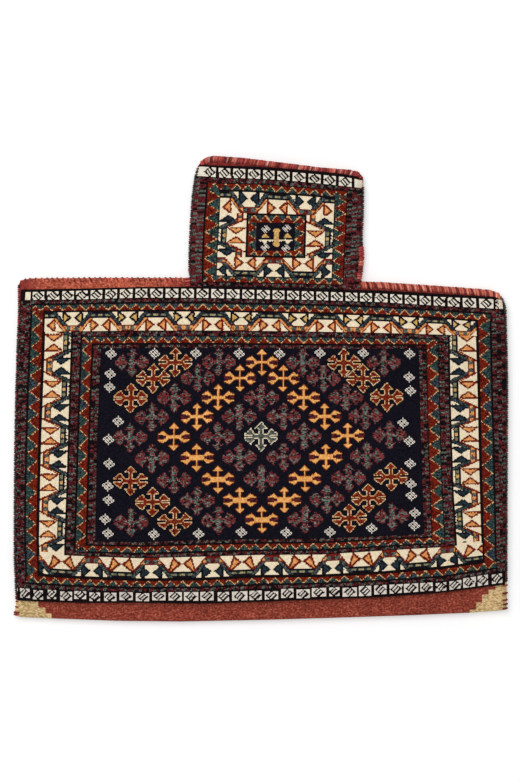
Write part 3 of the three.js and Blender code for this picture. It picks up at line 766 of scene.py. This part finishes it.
# One quad to a knot, with the tufts a little uneven and the edges rolled down to the ground
def pilePiece(name, loom, keep, jitter):
    columns, rows = loom.patch["size"]
    column, row = np.meshgrid(np.arange(columns + 1.0), np.arange(rows + 1.0))
    x, y = heldInside(*onChart(loom.patch, column, row), outline)
    bagX, bagY = toBag(x, y)
    height = pileHeight(x, y) + jitter[0]
    points = np.stack([bagX, bagY, height], -1).reshape(-1, 3)
    kept = np.argwhere(keep)
    (firstRow, firstColumn), (lastRow, lastColumn) = kept.min(0), kept.max(0) + 1
    u = (column - firstColumn) / (lastColumn - firstColumn)
    v = (lastRow - row) / (lastRow - firstRow)
    uv = np.stack([u, v], -1).reshape(-1, 2) * (1 - 2 * bakeEdge) + bakeEdge
    keep = keep.ravel()
    quads = gridQuads(rows, columns).reshape(-1, 4)[keep]
    piece = meshFrom(name, points, quads, uv, pileMaterials, loom.dye.ravel()[keep], jitter[1].ravel()[keep])
    settle(piece, ["woven_bag"])
    return piece


def tuftJitter(loom):
    columns, rows = loom.patch["size"]
    lift = rng.normal(0, knotting["lift"], (rows + 1, columns + 1))
    tone = np.clip(rng.normal(knotting["tone"], knotting["toneSpread"], (rows, columns)), 0, 1)
    return lift, tone


bodyLoom = Loom(bodyPatch)
weaveBands(bodyLoom, border)
weaveField(bodyLoom)
bodyJitter = tuftJitter(bodyLoom)
inField = bodyLoom.between(*field["box"])
pileField = pilePiece("pile_field", bodyLoom, inField, bodyJitter)
pileBorder = pilePiece("pile_border", bodyLoom, ~inField, bodyJitter)
neckLoom = Loom(neckPatch)
weaveBands(neckLoom, neck)
weaveNeckCentre(neckLoom)
pileNeck = pilePiece("pile_neck", neckLoom, neckLoom.row >= 0, tuftJitter(neckLoom))
print("pile tied,", bodyLoom.dye.size + neckLoom.dye.size, "knots")

# Flat weave: the ground of the front, the strips without pile, and the whole back
weave = {"roughness": 0.95, "float": 0.0021, "pick": 0.00105, "brick": "963c2b", "rust": "cc5c42", "rose": "d4907a",
         "crimson": "8c2f2e", "tan": "d2aa70", "straw": "e8cc98", "bump": 0.6, "depth": 0.0006,
         # paintedCrownLight: how much lighter each float's crown is painted than its sides, a painted highlight and
         # shade
         "base": 0.58, "yarnSwing": 0.55, "paintedCrownLight": 0.24, "bandSwing": 0.5, "cloudSwing": 0.5,
         "shoulderCloud": 0.8, "speckSwing": 1.9, "cornerCalm": 1.3,
         "cloud": 60.0, "speck": 520.0, "bands": 45.0, "shoulderEnd": 330,
         "crimsonEnds": [(48, 20), (160, 189)],
         "cornerSteps": [(38, 601), (45, 608), (51, 614), (496, 583), (489, 590), (482.5, 595), (476.5, 603),
                         (470, 610)]}


def clothMaterial():
    material, wire, shader = newMaterial("flat_weave", weave["roughness"])
    place = wire.node("ShaderNodeTexCoord", out="Object")
    parts = wire.node("ShaderNodeSeparateXYZ", {}, {0: place})
    across, along, height = (parts.beside(axis) for axis in "XYZ")
    pick = along / weave["pick"]
    turn = across / weave["float"] + (pick.floor() * 0.5).fract()
    cell = wire.node("ShaderNodeCombineXYZ", {}, {0: turn.floor(), 1: pick.floor()})
    yarn = wire.node("ShaderNodeTexWhiteNoise", {"noise_dimensions": "2D"}, {"Vector": cell})
    offX, offY = turn.fract() - 0.5, pick.fract() - 0.5
    # high rises to 1 on the crown of each float and falls towards its sides; it shapes the bump and also paints the
    # crown lighter and the sides darker, a painted highlight and shade
    high = 1 - 4 * (offX * offX + offY * offY)
    cloud = place.noise(weave["cloud"], 4.0)
    speck = place.noise(weave["speck"], 2.0)
    bands = wire.node("ShaderNodeTexNoise", {"noise_dimensions": "1D"},
                      {"W": along, "Scale": weave["bands"], "Detail": 3.0})
    shoulder = (along > toBag(0, weave["shoulderEnd"])[1]) * (height > lie["edgeMiddle"])
    red = shoulder.mix(colourOf(weave["brick"]), colourOf(weave["rust"]))
    red = ((speck - 0.4) * yarn * (1 + shoulder)).mix(red, colourOf(weave["rose"]))
    for start, end in weave["crimsonEnds"]:
        share = wire.node("ShaderNodeMapRange", {}, {"Value": across, "From Min": toBag(start, 0)[0],
                                                     "From Max": toBag(end, 0)[0]})
        red = (share * shoulder * (0.4 + cloud)).mix(red, colourOf(weave["crimson"]))
    tan = yarn.mix(colourOf(weave["tan"]), colourOf(weave["straw"]))
    corner = 0.0
    for limit, start in weave["cornerSteps"]:
        edgeX, edgeY = toBag(limit, start)
        outer = across < edgeX if edgeX < 0 else across > edgeX
        corner = outer * (along < edgeY) | corner
    # Tone of the cloth: random yarn, band, cloud and speck tones, plus a painted highlight on each float's crown with
    # painted shade at its sides
    shade = (weave["base"] + weave["yarnSwing"] * yarn + weave["paintedCrownLight"] * high
             + (bands - 0.5) * weave["bandSwing"]
             + (cloud - 0.5) * (weave["cloudSwing"] + weave["shoulderCloud"] * shoulder)
             + (speck - 0.5) * (weave["speckSwing"] - weave["cornerCalm"] * corner))
    shade.times(corner.mix(red, tan)).into(shader, "Base Color")
    high.bump(weave, shader)
    return material


flatWeave = clothMaterial()

# Sides of the two sheets, a little longer than the edges that they follow
shoulderLine = ([(10, 279.5)] + leftShoulderEdge[:3] + [(190, 277.5), (275, 280.5), (360, 282.6)]
                + rightShoulderEdge[1:4] + [(515, 293)])
foldLine = [(10, 617.6)] + foldEdge[1:] + [(515, 610.4)]
leftLine = [(17.8, 270)] + leftSideEdge
rightLine = [(506.6, 280), (506.4, 308)] + rightSideEdge
mouthLine = [(180, 168), (197.2, 166)] + mouthEdge[:-1] + [(364, 177)]
neckFootLine = [(180, 283), (370, 288)]


def lineAt(line, place, by):
    line = sorted(line, key=lambda point: point[by])
    return np.interp(place, [point[by] for point in line], [point[1 - by] for point in line])


# Grid shares that crowd towards both ends, where the cloth turns over its edge
def crowded(count, ends):
    inner = np.linspace(0, 1, count)[1:-1]
    return np.unique(np.concatenate([[0], ends, inner, [1 - end for end in ends], [1]]))


# Shares of a sheet as places on the chart, settled from a rough first x
def clothGrid(left, right, top, bottom, across, down):
    a, d = np.meshgrid(across, down)
    x = 190 + a * 100
    for _ in range(4):
        upper, lower = lineAt(top, x, 0), lineAt(bottom, x, 0)
        y = upper + (lower - upper) * d
        first, last = lineAt(left, y, 1), lineAt(right, y, 1)
        x = first + (last - first) * a
    return x, y


# Front and back of one folded sheet; lift is how far the back lies above its own height
def clothSheet(name, x, y, lift):
    bagX, bagY = toBag(x, y)
    rows, columns = x.shape
    a, d = np.meshgrid(np.linspace(0, 1, columns), np.linspace(0, 1, rows))
    points, quads, uv = [], [], []
    for layer, z in enumerate((frontHeight(x, y), backHeight(x, y) + lift)):
        face = gridQuads(rows - 1, columns - 1, layer * x.size).reshape(-1, 4)
        quads.append(face[:, ::-1] if layer else face)
        points.append(np.stack([bagX, bagY, z], -1).reshape(-1, 3))
        uv.append(np.stack([(a * 0.98 + 0.01 + layer) / 2, d * 0.98 + 0.01], -1).reshape(-1, 2))
    piece = meshFrom(name, np.concatenate(points), np.concatenate(quads), np.concatenate(uv), [flatWeave])
    settle(piece, ["woven_bag"], True)
    return piece


def endShares(stretch):
    return [share * stretch for share in (0.0012, 0.003, 0.0055, 0.009, 0.014, 0.02)]


pouchX, pouchY = clothGrid(leftLine, rightLine, shoulderLine, foldLine, crowded(120, endShares(1)),
                           crowded(90, endShares(1.4)))
pouchCloth = clothSheet("pouch_cloth", *heldInside(pouchX, pouchY, openOutline), 0.0)
neckX, neckY = clothGrid(leftNeckEdge + [(190.3, 300)], rightNeckEdge + [(360, 300)], mouthLine, neckFootLine,
                         crowded(60, endShares(2.6)), np.linspace(0, 1, 50))
neckCloth = clothSheet("neck_cloth", neckX, neckY, lie["neckLift"])
print("cloth folded")

# Overcast yarn that wraps the edges: fresh and worn tones
yarns = {"red": ("c4503f", "dc8070"), "rust": ("df7256", "efa289"), "wine": ("742725", "95453f"),
         "crimson": ("9c2a30", "c05555"), "dark": ("2a1e20", "453434"), "rose": ("cd8479", "e6b9ae"),
         "moss": ("3c3d38", "565346")}
yarnNames = list(yarns)
spun = {"roughness": 0.92, "gloss": 0.2, "ply": 900.0, "lint": 320.0, "base": 0.74, "toneSwing": 0.36,
        "plySwing": 1.3, "lintSwing": 0.6, "wear": 1.6, "bump": 0.6, "depth": 0.0004}


def yarnMaterial(name):
    fresh, worn = (colourOf(text) for text in yarns[name])
    material, shader, place, tone = woolMaterial("yarn_" + name, spun)
    ply, lint = place.noise(spun["ply"], 3.0), place.noise(spun["lint"], 3.0)
    shade = (spun["base"] + spun["toneSwing"] * tone + spun["plySwing"] * (ply - 0.5)
             + spun["lintSwing"] * (lint - 0.5))
    shade.times((lint * tone * spun["wear"]).mix(fresh, worn)).into(shader, "Base Color")
    ply.bump(spun, shader)
    return material


yarnMaterials = [yarnMaterial(name) for name in yarnNames]

# A wrap's rings of yarn: points to a ring, and the thickness of each ring from the front end to the back end
wrap = {"sides": 6, "thick": np.array([0.55, 0.95, 1, 1, 1, 1, 1, 1, 0.95, 0.55]), "uneven": 0.08, "tone": 0.5,
        "toneSpread": 0.28, "yarnSwing": (0.9, 1.1), "reachSwing": (0.88, 1.1), "lipLift": 0.0008, "uvCells": 40}
wrapRings = len(wrap["thick"])


# Evenly spaced stops along a line of chart points, and the way ahead at each
def alongLine(line, pitch):
    line = np.array(line, float)
    run = np.concatenate([[0], np.cumsum(np.hypot(*np.diff(line, axis=0).T))])
    stops = np.arange(pitch / 2, run[-1], pitch)
    stops = stops + rng.normal(0, pitch * wrap["uneven"], len(stops))

    def at(place):
        return np.stack([np.interp(place, run, line[:, 0]), np.interp(place, run, line[:, 1])], -1)

    ahead = at(stops + 1) - at(stops - 1)
    return at(stops), ahead / np.hypot(*ahead.T)[:, None]


# A wrap lies on the front, passes round the edge and ends on the back; the cloth is on the right of the line
def wrapPath(run, spot, ahead, r, reach):
    under, knot = run.get("under", reach), chart["knot"]
    insets = np.array([reach, reach * 0.8, reach * 0.45, reach * 0.14, -0.35 * r, -0.6 * r, -0.35 * r, under * 0.2,
                       under * 0.6, under])
    lean = np.linspace(0.5, -0.5, wrapRings) * run["lean"] * knot
    x = spot[0] + (-ahead[1] * insets + ahead[0] * lean) / knot
    y = spot[1] + (ahead[0] * insets + ahead[1] * lean) / knot
    if run.get("lip") == "front":
        top = frontHeight(x, y) + wrap["lipLift"]
        low = top - lie["cloth"]
    elif run.get("lip") == "back":
        top = np.full(wrapRings, lie["cloth"] + lie["neckLift"])
        low = np.full(wrapRings, lie["floorGap"])
    else:
        top = (pileHeight if run.get("overPile") else frontHeight)(x, y)
        low = np.maximum(backHeight(x, y), 2 * r)
    middle = (top + low) / 2
    z = np.array([top[0] - 0.4 * r, top[1] + 0.5 * r, top[2] + 0.7 * r, top[3] + 0.7 * r,
                  middle[4] + 0.3 * (top[4] - low[4]), middle[5], middle[6] - 0.3 * (top[6] - low[6]),
                  low[7] - 0.7 * r, low[8] - 0.7 * r, low[9] + 0.2 * r])
    bagX, bagY = toBag(x, y)
    return np.stack([bagX, bagY, np.maximum(z, r)], -1)


def yarnRings(path, ahead, r):
    heading = np.gradient(path, axis=0)
    heading[4:7, 2] -= 0.4 * r  # down round the edge, also where front and back meet in one line
    heading /= np.linalg.norm(heading, axis=1)[:, None]
    sideways = np.array([ahead[0], -ahead[1], 0.0])
    sideways = sideways - heading * (heading @ sideways)[:, None]
    sideways /= np.linalg.norm(sideways, axis=1)[:, None]
    upward = np.cross(heading, sideways)
    turns = np.arange(wrap["sides"]) / wrap["sides"] * 2 * np.pi
    ring = (np.cos(turns)[None, :, None] * sideways[:, None] + np.sin(turns)[None, :, None] * upward[:, None])
    return (path[:, None] + (r * wrap["thick"])[:, None, None] * ring).reshape(-1, 3)


def overcast(name, nodes, runs):
    points, uv, tones, colours = [], [], [], []
    sides, cells = wrap["sides"], wrap["uvCells"]
    for run in runs:
        for i, (spot, ahead) in enumerate(zip(*alongLine(run["line"], run["pitch"]))):
            r = run["yarn"] * rng.uniform(*wrap["yarnSwing"])
            reach = run["reach"] * rng.uniform(*wrap["reachSwing"])
            u, v = np.meshgrid(np.abs(np.arange(sides) - 2.5) / 3, np.arange(wrapRings) / wrapRings)
            uv.append(np.stack([u * 0.8 + len(points) % cells, v * 0.8 + len(points) // cells], -1).reshape(-1, 2))
            points.append(yarnRings(wrapPath(run, spot, ahead, r, reach), ahead, r))
            tones.append(np.clip(rng.normal(wrap["tone"], wrap["toneSpread"]), 0, 1))
            dye = rng.choice(len(run["dyes"]), p=run["odds"]) if run.get("odds") else i % len(run["dyes"])
            colours.append(yarnNames.index(run["dyes"][dye]))
    corner = np.arange(wrapRings - 1)[:, None] * sides + np.arange(sides)
    beside = np.arange(wrapRings - 1)[:, None] * sides + (np.arange(sides) + 1) % sides
    quads = np.stack([corner, beside, beside + sides, corner + sides], -1).reshape(-1, 4)
    wraps = np.arange(len(points))[:, None, None] * wrapRings * sides
    piece = meshFrom(name, np.concatenate(points), (wraps + quads).reshape(-1, 4),
                     np.concatenate(uv) / max(cells, len(uv) // cells + 1), yarnMaterials,
                     np.repeat(colours, len(quads)), np.repeat(tones, len(quads)))
    settle(piece, nodes, True)


sideStitch = {"pitch": 2.0, "yarn": 0.0009, "reach": 0.0018, "lean": 1.0, "overPile": True,
              "dyes": ["dark", "moss", "wine"], "odds": [0.6, 0.25, 0.15]}
seamStitch = {"pitch": 2.0, "yarn": 0.001, "reach": 0.0046, "lean": 0.8, "dyes": ["wine"]}
leftJoin, rightJoin = (17.3, 328), (362.6, 246)  # where the yarn changes on the left side and on the right of the neck
overcast("side_stitches_left", ["side_stitching_left"], [
    dict(sideStitch, line=leftSideEdge[1:7] + [leftJoin]),
    dict(sideStitch, line=[leftJoin, (18, 308), (17.8, 284)], dyes=["wine", "crimson", "dark"],
         odds=[0.6, 0.15, 0.25]),
    dict(seamStitch, line=[(14.8, 608.4), (15.1, 606.4)], yarn=0.0007, reach=0.003),
    dict(seamStitch, line=[(15.2, 603), (15.4, 601)], yarn=0.0007, reach=0.003),
    dict(seamStitch, line=[(13.8, 616), (14.2, 612)], yarn=0.0011, reach=0.0056, dyes=["crimson", "wine"])])
overcast("side_stitches_right", ["side_stitching_right"], [
    dict(sideStitch, line=[(499.6, 294.6)] + rightShoulderEdge[5:] + rightSideEdge[:5] + [(507.5, 582)])]
    + [dict(seamStitch, line=[(507.5, at - 1), (507.5, at + 1)]) for at in (585.5, 593.5, 600.5, 605, 608.6)])
shoulderStitch = {"pitch": 2.5, "yarn": 0.0014, "reach": 0.0055, "lean": 5.0, "dyes": ["rust", "red", "wine"]}
overcast("shoulder_stitches_left", ["shoulder_stitching_left"], [
    dict(shoulderStitch, line=[(22, 279.4)] + leftShoulderEdge[1:3] + [(184, 277.5)], pitch=5.4, yarn=0.0006,
         reach=0.0046, dyes=["wine", "crimson", "rust"], odds=[0.6, 0.2, 0.2]),
    dict(shoulderStitch, line=[(189.6, 277), (190.2, 287.5)], pitch=2.2, yarn=0.001, reach=0.0052, lean=1,
         dyes=["crimson", "red"], lip="front")])
overcast("shoulder_stitches_right", ["shoulder_stitching_right"], [
    dict(shoulderStitch, line=[(361, 282.8)] + rightShoulderEdge[:4] + [(499, 294.2)])])
neckStitch = dict(sideStitch, pitch=2.1, odds=[0.55, 0.25, 0.2])
overcast("neck_stitches_left", ["neck_stitching_left"], [
    dict(neckStitch, line=leftNeckEdge)])
overcast("neck_stitches_right", ["neck_stitching_right"], [
    dict(neckStitch, line=rightNeckEdge[:3] + [rightJoin]),
    dict(neckStitch, line=[rightJoin] + rightNeckEdge[3:], yarn=0.0013, pitch=2.4, reach=0.004,
         dyes=["crimson", "red", "wine"], odds=[0.4, 0.25, 0.35])])
mouthStitch = {"line": mouthEdge, "pitch": 1.6, "yarn": 0.0009, "under": 0.004, "lean": -3.0,
               "dyes": ["red", "rose", "wine", "crimson"], "odds": [0.3, 0.09, 0.33, 0.28]}
overcast("mouth_wraps_front", ["mouth_binding_front"], [dict(mouthStitch, lip="front", reach=0.005)])
overcast("mouth_wraps_back", ["mouth_binding_back"], [dict(mouthStitch, lip="back", reach=0.004)])
print("edges overcast")

# Pale floor, soft light, white behind
stage = {"floor": 4.0, "paper": "e8e8e8", "grain": 30.0, "glow": 0.32, "skyLight": 0.55, "keyPower": 34.0,
         "keySize": 1.8, "keyPlace": (-0.7, 0.9, 2.4), "keyTilt": (-0.36, -0.28, 0)}
white = (1, 1, 1, 1)


# An empty node tree, and which of its rays show the background
def backdrop(owner):
    owner.use_nodes = True
    owner.node_tree.nodes.clear()
    wire = Wire(owner.node_tree)
    path = wire.node("ShaderNodeLightPath")
    return wire, path.beside("Is Camera Ray") | path.beside("Is Glossy Ray") | path.beside("Is Transmission Ray")


def addStage():
    material = bpy.data.materials.new("paper_floor")
    wire, seen = backdrop(material)
    grain = wire.node("ShaderNodeTexNoise", {}, {"Scale": stage["grain"]})
    paper = (0.97 + 0.05 * grain).times(colourOf(stage["paper"]))
    plain = wire.node("ShaderNodeBsdfDiffuse", {}, {"Color": paper})
    glow = wire.node("ShaderNodeEmission", {}, {"Color": white, "Strength": stage["glow"]})
    lit = wire.node("ShaderNodeAddShader", {}, {0: plain, 1: glow})
    shown = wire.node("ShaderNodeMixShader", {}, {0: seen, 1: plain, 2: lit})
    shown.into(wire.tree.nodes.new("ShaderNodeOutputMaterial"), "Surface")
    points = np.array([[-1, -1, 0], [1, -1, 0], [1, 1, 0], [-1, 1, 0]], float) * stage["floor"]
    floor = meshFrom("floor", points, np.array([[0, 1, 2, 3]]), np.zeros((4, 2)), [material])
    scene.world = bpy.data.worlds.new("white_room")
    wire, seen = backdrop(scene.world)
    light = stage["skyLight"] + seen * (1 - stage["skyLight"])
    sky = wire.node("ShaderNodeBackground", {}, {"Color": white, "Strength": light})
    sky.into(wire.tree.nodes.new("ShaderNodeOutputWorld"), "Surface")
    lamp = bpy.data.lights.new("softbox", "AREA")
    lamp.energy = stage["keyPower"]
    lamp.size = stage["keySize"]
    key = bpy.data.objects.new("softbox", lamp)
    key.location = stage["keyPlace"]
    key.rotation_euler = stage["keyTilt"]
    scene.collection.objects.link(key)


addStage()

# Camera straight above the bag, as high as the picture's frame needs
view = {"lens": 100, "height": 2.29, "centre": (260, 390)}
camera = bpy.data.objects.new("camera", bpy.data.cameras.new("camera"))
camera.data.lens = view["lens"]
camera.location = (*toBag(*view["centre"]), view["height"])
scene.collection.objects.link(camera)
scene.camera = camera
print("stage and camera set")
